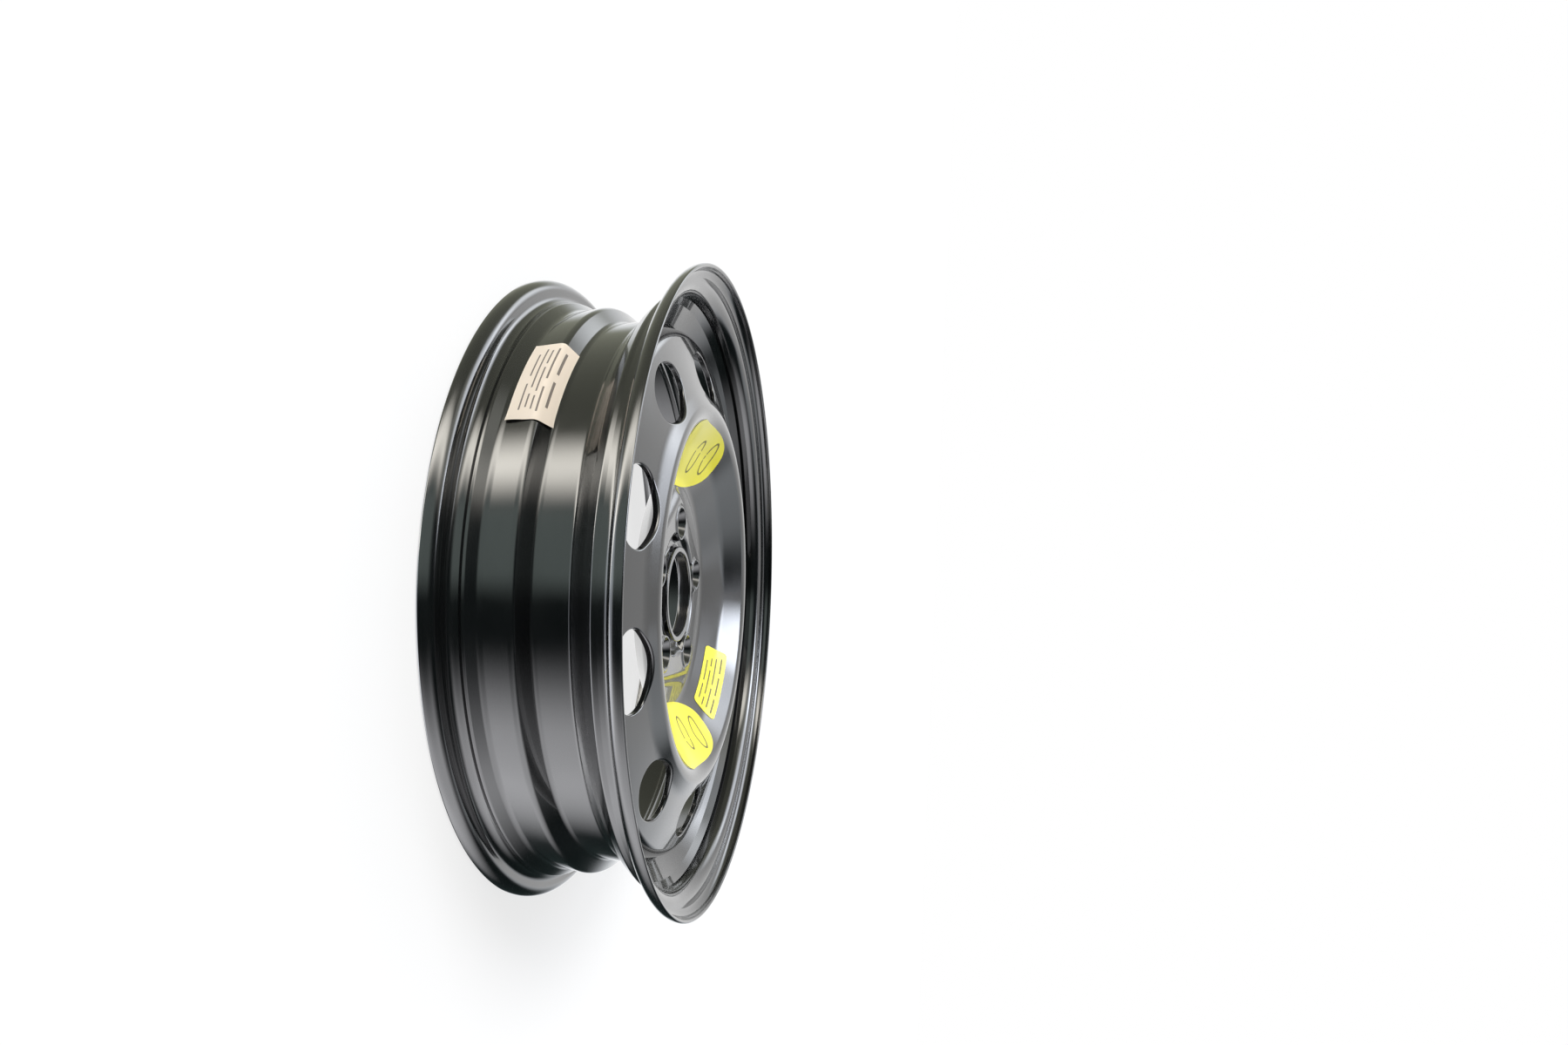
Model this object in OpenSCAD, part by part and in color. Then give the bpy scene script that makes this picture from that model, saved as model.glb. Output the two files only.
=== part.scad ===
// Pressed steel temporary-spare wheel, 17 inch by 4 J.
// The wheel lies on its inboard flange. The axis is +Z, the outer side faces up, and the origin is the
// centre of the hub mounting face.

/* [Rim] */
// Outside diameter over the flanges
flange_d = 471; // [462:1:476]
// Bead seat diameter at the heel
seat_d = 436.6; // [434:0.2:440]
// Width between the two flange walls
rim_w = 101.6; // [98:0.2:110]
// Width of each flange lip beyond its wall
flange_w = 11.7; // [11.2:0.1:13]
// Thickness of the rolled strip
rim_t = 2.7; // [2:0.1:3.2]
// Outside diameter of the well floor
well_d = 401.6; // [398:0.2:405]
// Width of the well floor
well_w = 23; // [18:1:25]
// Well floor's outboard edge, outboard of the rim's middle plane
well_z = 19.5; // [17:0.5:21]
// Outside diameter of the broad ledge inboard of the well
ledge_d = 425.2; // [420:0.2:428]
// Drop of the ledge where it meets the inboard hump
ledge_fall = 1.2; // [0.4:0.1:2]
// Taper of the bead seats, in degrees
seat_taper = 5; // [3:0.5:6]
// Height of the safety humps over the seats
hump_h = 0.9; // [0.5:0.1:1.4]
// Diameter of the valve hole
valve_d = 11.5; // [9:0.1:14]

/* [Disc] */
// Distance from the rim's middle plane out to the hub mounting face
hub_offset = 22; // [18:0.5:26]
// Thickness of the pressed disc
disc_t = 4; // [3:0.1:4.6]
// Height of the skirt that is pressed into the well
skirt_h = 17; // [12:0.5:19]
// Height of the shoulder above the mounting face
shoulder_z = 14.8; // [12:0.2:17]
// Radius of the shoulder's corner
shoulder_r = 192.6; // [190:0.2:194]
// Radius at which the sloping face turns up into the crown
face_r = 150; // [147:0.5:153]
// Height of that turn above the mounting face
face_z = 27.2; // [25:0.2:29]
// Radius of the crown
crown_r = 134.5; // [131:0.5:138]
// Height of the crown's corner before it is rounded
crown_z = 35.3; // [33:0.1:37]
// Radius of the foot of the bowl
bowl_r = 88; // [85:0.5:92]

/* [Vents] */
// Number of vent holes
vent_n = 10; // [6:1:11]
// Radius of the circle through the vent holes
vent_pitch_r = 163; // [160:0.5:166]
// Vent size across the radius
vent_w = 37.4; // [32:0.2:40]
// Vent size round the wheel
vent_l = 54.4; // [50:0.2:60]
// Radius of a vent's round ends
vent_end_r = 14.2; // [12:0.1:16]

/* [Nave] */
// Diameter of the hub bore
bore_d = 63.4; // [56:0.1:67]
// Wall of the drawn collar round the bore
collar_t = 4.5; // [3:0.1:5]
// Height of the collar above the mounting face
collar_h = 10; // [8.8:0.1:12]
// Number of wheel bolts
bolt_n = 5; // [4:1:5]
// Pitch circle diameter of the bolts
bolt_pcd = 108; // [106:0.1:112]
// Diameter of the bolt holes
bolt_d = 14.6; // [12:0.1:16]
// Included angle of the coned bolt seats, in degrees
seat_angle = 60; // [55:1:70]
// Outside radius of a bolt seat's cone
seat_r = 11.4; // [9.5:0.1:11.8]
// Height of the bolt seats above the mounting face
boss_h = 9.6; // [9:0.1:10.5]
// Height of the star's top above the mounting face
star_h = 8.5; // [7:0.1:8.8]
// Radius from the axis to the star's foot between two bolts
star_flat_r = 70; // [66:0.5:72]
// Radius of the star's rounded corners at the foot
star_corner_r = 17; // [14:0.5:20]

/* [Welds] */
// Number of weld beads between rim and disc
weld_n = 5; // [4:1:8]
// Arc of each weld bead, in degrees
weld_arc = 30; // [18:1:40]
// Leg of a weld bead
weld_leg = 3.8; // [2.5:0.1:5]

/* [Labels] */
// Thickness of each label
label_t = 0.25; // [0.15:0.05:0.5]
// Middle direction of the paper label on the rim, in degrees
paper_dir = 142.5; // [120:0.5:170]
// Arc of the paper label, in degrees
paper_arc = 19.5; // [14:0.5:26]
// Width of the paper label along the axis
paper_w = 28; // [20:0.5:30]
// Half height of the two oblong labels
oval_r = 22; // [18:0.5:24]
// Straight length of the oblong labels
oval_run = 74; // [50:1:80]
// Distance of the oblong labels' middle line from the axis
oval_y = 103; // [100:0.5:106]
// Sideways shift of the oblong labels
oval_x = -10; // [-15:0.5:0]
// Inner radius of the strip label
strip_r = 99.5; // [96:0.5:102]
// Width of the strip label
strip_w = 21.5; // [16:0.5:24]
// Arc of the strip label, in degrees
strip_arc = 33; // [24:0.5:38]
// Middle direction of the strip label, in degrees
strip_dir = -40.5; // [-55:0.5:-30]

/* [Hidden] */
$fn = 96;

// Clearance between pieces that seat on each other
fit_gap = 0.05;
// Largest turn of one step round a bend in a section, in degrees
bend_step = 8;
// Vertical direction in the wheel's own plane, in degrees
up = 90;
// Extra length of every cut beyond what it cuts
cut = 1;
// How far a round corner stands over the side that it joins
arc_overlap = 0.12;

// Flange and bead seat
flange_bend_r = 8.5;
lip_bend_r = 1.5;
lip_end = 1.9;
lip_droop = 0.9;
heel_r = 6.5;
hump_z = 40.5;
hump_run = 3.1;
hump_bend_r = 2.5;
ledge_z = 33;
ledge_bend_r = 6;
ridge_z = 12;
ridge_bend_r = 5;
well_bend_r = 4.5;
front_rise = 12.9;
front_hump_z = 38.6;

// Disc
skirt_top_z = -2;
skirt_bend_r = 14;
shoulder_bend_r = 9;
face_bend_r = 36;
crown_bend_r = 11;
bowl_mid_r = 112;
bowl_mid_z = 17.6;
bowl_bend_r = 46;
foot_bend_r = 15;
collar_foot_r = 2.2;
collar_top_r = 1.3;
bore_edge_r = 2.4;

// Nave
star_slope = 2.1;
moat_r = 43;
star_wall = 3.4;
boss_foot_r = 14.6;
boss_top_r = 12.5;
under_boss_r = 13.4;

// Labels
paper_rise = 1.05;
strip_corner_r = 3.5;
foot_run = 5;

seat_r0 = seat_d / 2;
wall_z = rim_w / 2;
lip_z = wall_z + flange_w;
well_r = well_d / 2;
skirt_r = well_r - rim_t - fit_gap;
well_low_z = well_z - well_w;
bolt_circle_r = bolt_pcd / 2;
bore_r = bore_d / 2;

function unit(v) = v / norm(v);
function left_of(v) = [-v[1], v[0]];
function turn_angle(a) = a > 180 ? a - 360 : (a < -180 ? a + 360 : a);

// Points of the arc that rounds the corner b between a and c with radius r
function bend(a, b, c, r) =
    let (p = unit(a - b), q = unit(c - b), half = acos(max(-1, min(1, p * q))) / 2,
        centre = b + unit(p + q) * r / sin(half),
        start = b + p * r / tan(half) - centre, stop = b + q * r / tan(half) - centre,
        from = atan2(start[1], start[0]), sweep = turn_angle(atan2(stop[1], stop[0]) - from),
        steps = max(1, ceil(abs(sweep) / bend_step)))
    [for (i = [0:steps]) centre + r * [cos(from + sweep * i / steps), sin(from + sweep * i / steps)]];

// Section line through corners given as [radius, height, bend radius]
function section(c) = [for (i = [0:len(c) - 1]) each
    (i == 0 || i == len(c) - 1 || c[i][2] == 0) ? [[c[i][0], c[i][1]]]
    : bend([c[i - 1][0], c[i - 1][1]], [c[i][0], c[i][1]], [c[i + 1][0], c[i + 1][1]], c[i][2])];

// The same line moved to its left by d
function beside(p, d) = [for (i = [0:len(p) - 1])
    let (n0 = left_of(unit(p[max(i, 1)] - p[max(i, 1) - 1])),
        n1 = left_of(unit(p[min(i, len(p) - 2) + 1] - p[min(i, len(p) - 2)])),
        m = unit(n0 + n1))
    p[i] + m * d / (m * n0)];

function reversed(p) = [for (i = [len(p) - 1:-1:0]) p[i]];

// Strip of metal or paper between two lines beside a section line
module strip(p, near, far) {
    polygon(concat(beside(p, near), reversed(beside(p, far))));
}

function from_middle(c) = [for (p = c) [p[0], p[1] - hub_offset, p[2]]];

function seat_at(z) = seat_r0 - (wall_z - abs(z)) * tan(seat_taper);

function hump(z, side) = [
    [seat_at(z + side * hump_run), z + side * hump_run, hump_bend_r],
    [seat_at(z) + hump_h, z, hump_bend_r]];

function flange(side) = [
    [flange_d / 2 - lip_droop, side * lip_z, 0],
    [flange_d / 2, side * (lip_z - lip_end), lip_bend_r],
    [flange_d / 2, side * wall_z, flange_bend_r],
    [seat_r0, side * wall_z, heel_r]];

// Tyre side of the rolled strip, from the inboard lip to the outboard lip
rim_line = section(from_middle(concat(
    flange(-1),
    hump(-hump_z, -1),
    [[ledge_d / 2 - ledge_fall, -ledge_z, ledge_bend_r],
    [ledge_d / 2, -ridge_z, ridge_bend_r],
    [well_r, well_low_z, well_bend_r],
    [well_r, well_z, well_bend_r],
    [well_r + front_rise, well_z + front_rise, ridge_bend_r]],
    reversed(hump(front_hump_z, 1)),
    reversed(flange(1)))));

// Outboard side of the disc, from the skirt's edge over the crown to the bore
disc_line = section([
    [skirt_r, skirt_top_z - skirt_h, 0],
    [skirt_r, skirt_top_z, skirt_bend_r],
    [shoulder_r, shoulder_z, shoulder_bend_r],
    [face_r, face_z, face_bend_r],
    [crown_r, crown_z, crown_bend_r],
    [bowl_mid_r, bowl_mid_z, bowl_bend_r],
    [bowl_r, disc_t, foot_bend_r],
    [bore_r + collar_t / 2, disc_t, 0]]);

// Collar section, drawn up out of the nave round the bore
collar_line = section([
    [bore_r + collar_t + 2 * collar_foot_r, 0, 0],
    [bore_r, 0, bore_edge_r],
    [bore_r, collar_h, collar_top_r],
    [bore_r + collar_t, collar_h, collar_top_r],
    [bore_r + collar_t, disc_t, collar_foot_r],
    [bore_r + collar_t + 2 * collar_foot_r, disc_t, 0]]);

module rim() {
    color("#17181a")
    difference() {
        rotate_extrude($fn = 360) strip(rim_line, 0, rim_t);
        valve_hole();
    }
}

// Valve hole, square to the cone between the well and the outboard seat
module valve_hole() {
    translate([well_r + front_rise / 2, 0, well_z + front_rise / 2 - hub_offset])
        rotate([0, -45, 0]) cylinder(d = valve_d, h = 4 * rim_t, center = true);
}

module disc() {
    color("#1b1d1f")
    difference() {
        union() {
            rotate_extrude($fn = 360) {
                strip(disc_line, 0, disc_t);
                polygon(collar_line);
            }
            star();
            bolts() translate([0, 0, disc_t / 2])
                cylinder(r1 = boss_foot_r, r2 = boss_top_r, h = boss_h - disc_t / 2);
        }
        star_relief();
        bolts() bolt_seat();
        vents() vent_outline();
    }
}

// Raised star, open round the collar
module star() {
    low = disc_t / 2;
    difference() {
        pentagon(low, star_h, 0);
        translate([0, 0, low - cut]) cylinder(r = moat_r, h = disc_t - low + cut);
        translate([0, 0, disc_t]) cylinder(r1 = moat_r, r2 = moat_r + star_h, h = star_h);
    }
}

// Hollow behind the star, which keeps the metal under the bolt seats
module star_relief() {
    roof = star_h - disc_t;
    inner = moat_r - disc_t + norm([star_wall, star_wall]);
    difference() {
        pentagon(-cut, roof, star_wall);
        translate([0, 0, -2 * cut]) cylinder(r1 = inner - 2 * cut, r2 = inner + roof + cut, h = roof + 3 * cut);
        bolts() translate([0, 0, -2 * cut]) cylinder(r = under_boss_r, h = roof + 3 * cut);
    }
}

module bolts_at(r) {
    for (i = [0:bolt_n - 1]) rotate(up + i * 360 / bolt_n) translate([r, 0, 0]) children();
}

module bolts() {
    bolts_at(bolt_circle_r) children();
}

// Frustum with a flat side between each two bolts and a rounded corner at each bolt, drawn in by inset
module pentagon(foot_z, top_z, inset) {
    corner_at = (star_flat_r - star_corner_r) / cos(180 / bolt_n);
    z0 = foot_z - cut;
    h = top_z - foot_z + 2 * cut;
    low = star_corner_r - inset - (z0 - disc_t) * star_slope;
    high = low - h * star_slope;
    flat = star_flat_r - star_corner_r - arc_overlap;
    clip = corner_at * sin(180 / bolt_n);
    far = 6 * star_flat_r;
    intersection() {
        translate([0, 0, foot_z]) cylinder(r = far, h = top_z - foot_z);
        translate([0, 0, z0]) union() {
            intersection() {
                cylinder(r1 = norm([flat + low, clip]), r2 = norm([flat + high, clip]), h = h);
                for_all_sides() translate([flat + low, 0, 0]) rotate([0, -atan(star_slope), 0])
                    translate([-far, -far / 2, -far / 2]) cube(far);
            }
            bolts_at(corner_at) cylinder(r1 = low + arc_overlap, r2 = high + arc_overlap, h = h);
        }
    }
}

// What every turn of the children between two bolts has in common
module for_all_sides() {
    intersection_for(i = [0:bolt_n - 1]) rotate(up + (i + 0.5) * 360 / bolt_n) children();
}

module bolt_seat() {
    depth = (seat_r - bolt_d / 2) / tan(seat_angle / 2);
    translate([0, 0, -cut]) cylinder(d = bolt_d, h = boss_h + 2 * cut);
    translate([0, 0, boss_h - depth]) cylinder(r1 = bolt_d / 2, r2 = seat_r, h = depth);
    translate([0, 0, boss_h]) cylinder(r = seat_r, h = cut);
}

module vents() {
    for (i = [0:vent_n - 1]) rotate(up + i * 360 / vent_n) translate([vent_pitch_r, 0, 0])
        linear_extrude(crown_z + cut) children();
}

// Oval of two end arcs and two side arcs
module vent_outline() {
    half_w = vent_w / 2;
    end_y = vent_l / 2 - vent_end_r;
    blend_r = vent_end_r - arc_overlap;
    side_r = (end_y * end_y + half_w * half_w - blend_r * blend_r) / (2 * (half_w - blend_r));
    join_y = end_y * side_r / (side_r - blend_r);
    for (s = [-1, 1]) translate([0, s * end_y]) circle(r = vent_end_r);
    intersection() {
        translate([side_r - half_w, 0]) circle(r = side_r);
        translate([half_w - side_r, 0]) circle(r = side_r);
        square([vent_w, 2 * join_y], center = true);
    }
}

// Fillet beads in the corner between the skirt's edge and the well
module rim_disc_welds() {
    low = skirt_top_z - skirt_h - fit_gap;
    outer = skirt_r;
    color("#2b2a28")
    for (i = [0:weld_n - 1]) rotate(up + (i + 0.5) * 360 / weld_n - weld_arc / 2)
        rotate_extrude(angle = weld_arc, $fn = 360)
            polygon([[outer, low], [outer - weld_leg, low], [outer - weld_leg * 0.45, low - weld_leg * 0.45],
                [outer, low - weld_leg]]);
}

module rim_paper_label() {
    label_low = -ledge_z - hub_offset + paper_rise;
    color("#e6d8c4")
    rotate(paper_dir - paper_arc / 2) rotate_extrude(angle = paper_arc, $fn = 360)
        intersection() {
            strip(rim_line, -fit_gap - label_t, -fit_gap);
            translate([0, label_low]) square([flange_d, paper_w]);
        }
}

// Thin sheet that lies on the outboard side of the disc, cut to the outline given
module disc_label() {
    color("#f2e40c")
    intersection() {
        rotate_extrude($fn = 360) intersection() {
            strip(disc_line, -fit_gap - label_t, -fit_gap);
            translate([bowl_r - foot_run, 0]) square([vent_pitch_r - bowl_r, 2 * crown_z]);
        }
        linear_extrude(2 * crown_z) children();
    }
}

module oval_outline(side) {
    translate([oval_x, side * oval_y]) {
        for (s = [-1, 1]) translate([s * oval_run / 2, 0]) circle(r = oval_r);
        square([oval_run, 2 * oval_r], center = true);
    }
}

module upper_oval_label() {
    disc_label() oval_outline(1);
}

module lower_oval_label() {
    disc_label() oval_outline(-1);
}

// Part of a ring between two radii and two directions
module ring_part(r0, r1, a0, a1) {
    far = 2 * r1;
    intersection() {
        difference() {
            circle(r = r1);
            circle(r = r0);
        }
        polygon([[0, 0], far * [cos(a0), sin(a0)], far * [cos(a1), sin(a1)]]);
    }
}

module strip_outline() {
    a0 = strip_dir - strip_arc / 2;
    a1 = strip_dir + strip_arc / 2;
    r1 = strip_r + strip_w;
    c = strip_corner_r;
    turn0 = asin(c / (strip_r + c));
    turn1 = asin(c / (r1 - c));
    ring_part(strip_r + c, r1 - c, a0, a1);
    ring_part(strip_r, r1, a0 + turn0, a1 - turn0);
    for (a = [a0 + turn0, a1 - turn0]) rotate(a) translate([strip_r + c, 0]) circle(r = c);
    for (a = [a0 + turn1, a1 - turn1]) rotate(a) translate([r1 - c, 0]) circle(r = c);
}

module strip_label() {
    disc_label() strip_outline();
}

rim();
disc();
rim_disc_welds();
rim_paper_label();
upper_oval_label();
lower_oval_label();
strip_label();
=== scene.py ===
"""Looks of a narrow pressed steel wheel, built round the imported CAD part."""

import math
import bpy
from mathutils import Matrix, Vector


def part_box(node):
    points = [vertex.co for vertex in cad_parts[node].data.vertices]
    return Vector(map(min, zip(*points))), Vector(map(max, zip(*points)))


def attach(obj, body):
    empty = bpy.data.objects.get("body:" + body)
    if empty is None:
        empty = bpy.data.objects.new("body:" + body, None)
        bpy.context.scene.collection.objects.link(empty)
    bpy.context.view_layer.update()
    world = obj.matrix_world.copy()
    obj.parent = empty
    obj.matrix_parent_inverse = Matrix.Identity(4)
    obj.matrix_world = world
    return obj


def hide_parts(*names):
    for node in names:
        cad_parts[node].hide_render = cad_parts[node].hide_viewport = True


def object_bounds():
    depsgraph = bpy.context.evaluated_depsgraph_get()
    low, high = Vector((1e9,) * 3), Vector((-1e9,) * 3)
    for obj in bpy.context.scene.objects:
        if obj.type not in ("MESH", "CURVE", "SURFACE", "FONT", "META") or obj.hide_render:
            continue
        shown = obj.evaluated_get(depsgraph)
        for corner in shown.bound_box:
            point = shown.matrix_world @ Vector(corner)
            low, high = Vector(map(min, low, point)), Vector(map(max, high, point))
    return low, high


bl_info = {
    "name": "Pressed steel spare wheel",
    "version": (1, 0, 0),
    "blender": (4, 5, 0),
    "location": "View3D > Sidebar > Wheel",
    "description": "Narrow pressed steel wheel with an oval-vented disc, in gloss black enamel",
    "category": "Object",
}

import bmesh
import bpy
import numpy as np
from mathutils import Matrix, Vector

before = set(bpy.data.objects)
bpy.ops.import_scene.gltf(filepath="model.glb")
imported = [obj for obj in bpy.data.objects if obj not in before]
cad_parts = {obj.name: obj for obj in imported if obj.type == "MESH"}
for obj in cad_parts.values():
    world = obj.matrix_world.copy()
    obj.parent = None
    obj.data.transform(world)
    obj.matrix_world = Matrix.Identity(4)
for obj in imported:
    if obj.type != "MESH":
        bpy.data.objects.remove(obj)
CAD_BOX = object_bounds()
MM = 0.001
RIM_BOX = [np.array(corner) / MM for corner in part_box("rim")]
FLANGE_D = round(float(RIM_BOX[1][1] - RIM_BOX[0][1]), 1)
# Direction of the photograph's up round the wheel's axis, in degrees.
UP = 90.0
# In millimetres: from the rim's middle plane up to the hub face, and between pieces that touch.
OFFSET = 22.0
FIT_GAP = 0.05


# ---------------------------------------------------------------- properties


def size(name, description, default, low=0.0):
    """A length that the user sets in millimetres."""
    return bpy.props.FloatProperty(name=name, description=description + ", in millimetres",
                                   default=default, min=low, subtype="NONE", precision=2)


def colour(name, description, code):
    """A colour that the user picks, from its sRGB hex code."""
    return bpy.props.FloatVectorProperty(name=name, description=description, size=3, min=0, max=1,
                                         subtype="COLOR", default=linear(code))


def linear(code):
    """Linear red, green and blue of an sRGB hex code."""
    parts = [int(code[i:i + 2], 16) / 255 for i in (1, 3, 5)]
    return tuple(c / 12.92 if c <= 0.04045 else ((c + 0.055) / 1.055) ** 2.4 for c in parts)


class WheelSizes(bpy.types.PropertyGroup):
    """Sizes of the rolled rim and the pressed disc"""
    flange_d: size("Flange diameter", "Outside diameter over the flanges", FLANGE_D)
    seat_d: size("Bead seat diameter", "Diameter of the bead seats at the heel", 436.6)
    rim_w: size("Rim width", "Width between the flange walls", 101.6)
    flange_w: size("Lip width", "Width of a flange lip beyond its wall", 11.7)
    rim_t: size("Rim thickness", "Thickness of the rolled strip", 2.7)
    well_d: size("Well diameter", "Outside diameter of the well floor", 401.6)
    well_w: size("Well width", "Width of the well floor", 23.0)
    well_z: size("Well position", "Outboard edge of the well from the middle plane", 19.5)
    ledge_d: size("Ledge diameter", "Outside diameter of the ledge inboard of the well", 425.2)
    valve_d: size("Valve hole", "Diameter of the valve hole", 11.5)
    disc_t: size("Disc thickness", "Thickness of the pressed disc", 4.0)
    vent_w: size("Vent width", "Vent size across the radius", 37.4)
    vent_l: size("Vent length", "Vent size round the wheel", 54.4)
    vent_end_r: size("Vent end radius", "Radius of a vent's round ends", 14.2)
    vent_pitch_r: size("Vent circle", "Radius of the circle through the vents", 163.0)
    bore_d: size("Bore", "Diameter of the hub bore", 63.4)
    collar_t: size("Collar wall", "Wall of the drawn collar", 4.5)
    collar_h: size("Collar height", "Height of the collar over the hub face", 10.0)
    bolt_pcd: size("Bolt circle", "Pitch circle diameter of the bolts", 108.0)
    bolt_d: size("Bolt hole", "Diameter of the bolt holes", 14.6)
    seat_r: size("Bolt seat radius", "Outside radius of a bolt seat's cone", 11.4)
    boss_h: size("Bolt seat height", "Height of the bolt seats over the hub face", 9.6)
    star_h: size("Star height", "Height of the star over the hub face", 8.5)
    label_t: size("Label thickness", "Thickness of the labels", 0.25)


class WheelColours(bpy.types.PropertyGroup):
    """Colours of the finishes and of the stage"""
    enamel: colour("Enamel", "Black stoved enamel", "#0d0e0f")
    paper: colour("Paper", "Paper of the rim label", "#eadccb")
    paper_ink: colour("Paper ink", "Marks on the paper label", "#7a7068")
    film: colour("Film", "Yellow film of the disc labels", "#f6ec12")
    film_ink: colour("Film ink", "Marks on the film labels", "#6a6412")
    floor: colour("Floor", "Plain pale floor", "#fafafa")


# ---------------------------------------------------------------- sections


def unit(v):
    """The vector at a length of one."""
    return v / np.linalg.norm(v)


def bend(a, b, c, r, step):
    """Points of the arc that rounds corner b, and the normal to the left of each."""
    p, q = unit(a - b), unit(c - b)
    half = math.acos(max(-1, min(1, float(p @ q)))) / 2
    centre = b + unit(p + q) * r / math.sin(half)
    start, stop = b + p * r / math.tan(half) - centre, b + q * r / math.tan(half) - centre
    a0 = math.atan2(start[1], start[0])
    sweep = (math.atan2(stop[1], stop[0]) - a0 + math.pi) % (2 * math.pi) - math.pi
    n = max(2, math.ceil(abs(math.degrees(sweep)) / step))
    t = a0 + sweep * np.arange(n + 1) / n
    spoke = np.stack([np.cos(t), np.sin(t)], 1)
    return centre + r * spoke, -spoke if sweep > 0 else spoke


def section(corners, step=5.0):
    """Line through corners given as (radius, height, bend radius), with its left normals."""
    c = np.array([k[:2] for k in corners], float)
    points, normals = [], []
    for i, (r0, z0, r) in enumerate(corners):
        if 0 < i < len(corners) - 1:
            p, n = bend(c[i - 1], c[i], c[i + 1], r, step)
        else:
            along = unit(c[1] - c[0]) if i == 0 else unit(c[-1] - c[-2])
            p, n = c[i:i + 1], np.array([[-along[1], along[0]]])
        points.append(p)
        normals.append(n)
    return np.vstack(points), np.vstack(normals)


def along(left):
    """Direction of travel from a left normal."""
    return np.stack([left[..., 1], -left[..., 0]], -1)


def cap(edge, left, t, side=1, steps=8):
    """Half-round edge of a sheet of thickness t: at its end, or with side -1 at its start."""
    a = np.pi * np.arange(1, steps) / steps
    n = side * (along(left) * np.sin(a)[:, None] - left * np.cos(a)[:, None])
    return edge + left * t / 2 + n * t / 2, n


def sheet_loop(points, left, t):
    """Closed outline of a bent sheet with half-round edges, and its outward normals."""
    points = points.copy()
    points[0] += along(left[0]) * t / 2
    points[-1] -= along(left[-1]) * t / 2
    end, end_n = cap(points[-1], left[-1], t)
    start, start_n = cap(points[0], left[0], t, -1)
    loop = np.vstack([points, end, (points + left * t)[::-1], start])
    return loop, np.vstack([-left, end_n, left[::-1], start_n])


class Shell:
    """Vertices, their exact normals, and faces of one mesh, in millimetres."""

    def __init__(self):
        self.points, self.normals, self.faces, self.count = [], [], [], 0

    def add(self, points, normals):
        """Adds vertices and returns their numbers in the same grid."""
        points = np.asarray(points, float)
        normals = np.asarray(normals, float)
        self.points.append(points.reshape(-1, 3))
        self.normals.append(normals.reshape(-1, 3))
        index = self.count + np.arange(len(self.points[-1]))
        self.count += len(index)
        return index.reshape(points.shape[:-1])

    def band(self, a, b, closed=True):
        """Quads between two rows of the same length."""
        a2, b2 = (np.roll(a, -1), np.roll(b, -1)) if closed else (a[1:], b[1:])
        a, b = (a, b) if closed else (a[:-1], b[:-1])
        self.faces.append(np.stack([a, a2, b2, b], 1))

    def grow(self, row, points, normals):
        """Adds a row of vertices, joins it to the row before, and returns it."""
        new = self.add(points, normals)
        self.band(row, new)
        return new

    def wrap(self, grid, gone):
        """Quads over a grid that closes on itself both ways, except where they are gone."""
        for j in range(len(grid)):
            k, keep = (j + 1) % len(grid), np.flatnonzero(~gone[j])
            c = (keep + 1) % grid.shape[1]
            self.faces.append(np.stack([grid[j, keep], grid[j, c], grid[k, c], grid[k, keep]], 1))

    def make(self, name, finish, body="root"):
        """The mesh as an object of the scene, in metres, riding on the body."""
        p = np.vstack(self.points) * MM
        n = np.vstack(self.normals)
        n /= np.maximum(np.linalg.norm(n, axis=1), 1e-9)[:, None]
        mesh = bpy.data.meshes.new(name)
        mesh.from_pydata(p.tolist(), [], [f for block in self.faces
                                          for f in np.atleast_2d(block).tolist()])
        mesh.validate()
        form = bmesh.new()
        form.from_mesh(mesh)
        bmesh.ops.recalc_face_normals(form, faces=form.faces)
        form.to_mesh(mesh)
        form.free()
        mesh.update()
        mesh.polygons.foreach_set("use_smooth", [True] * len(mesh.polygons))
        mesh.normals_split_custom_set_from_vertices(n.tolist())
        mesh.materials.append(finish)
        made = bpy.data.objects.new(name, mesh)
        bpy.context.scene.collection.objects.link(made)
        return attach(made, body)


def around(grid, rows, cols):
    """Vertices round a patch of a grid, in one turn."""
    return np.concatenate([grid[rows[0], cols[:-1]], grid[rows[:-1], cols[-1]],
                           grid[rows[-1], cols[:0:-1]], grid[rows[:0:-1], cols[0]]])


def turn(points, normals, angles):
    """Rows of a section turned to every angle: (section, angle, xyz)."""
    c, s = np.cos(angles), np.sin(angles)
    out = []
    for v in (points, normals):
        r, z = v[:, :1], v[:, 1:]
        out.append(np.stack([r * c, r * s, z + 0 * c], -1))
    return out


# ---------------------------------------------------------------- rim


RIM_COLUMNS = 360
SEAT_TAPER = 5.0
# Rise and run of the slope from the well to the outboard seat, and what its bends take of it.
SLOPE = 12.9
SLOPE_BEND = 1.5
# The slope's patch for the valve hole: rows across it, and columns to each side of the hole.
PATCH_ROWS = 7
PATCH_REACH = 4


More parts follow.
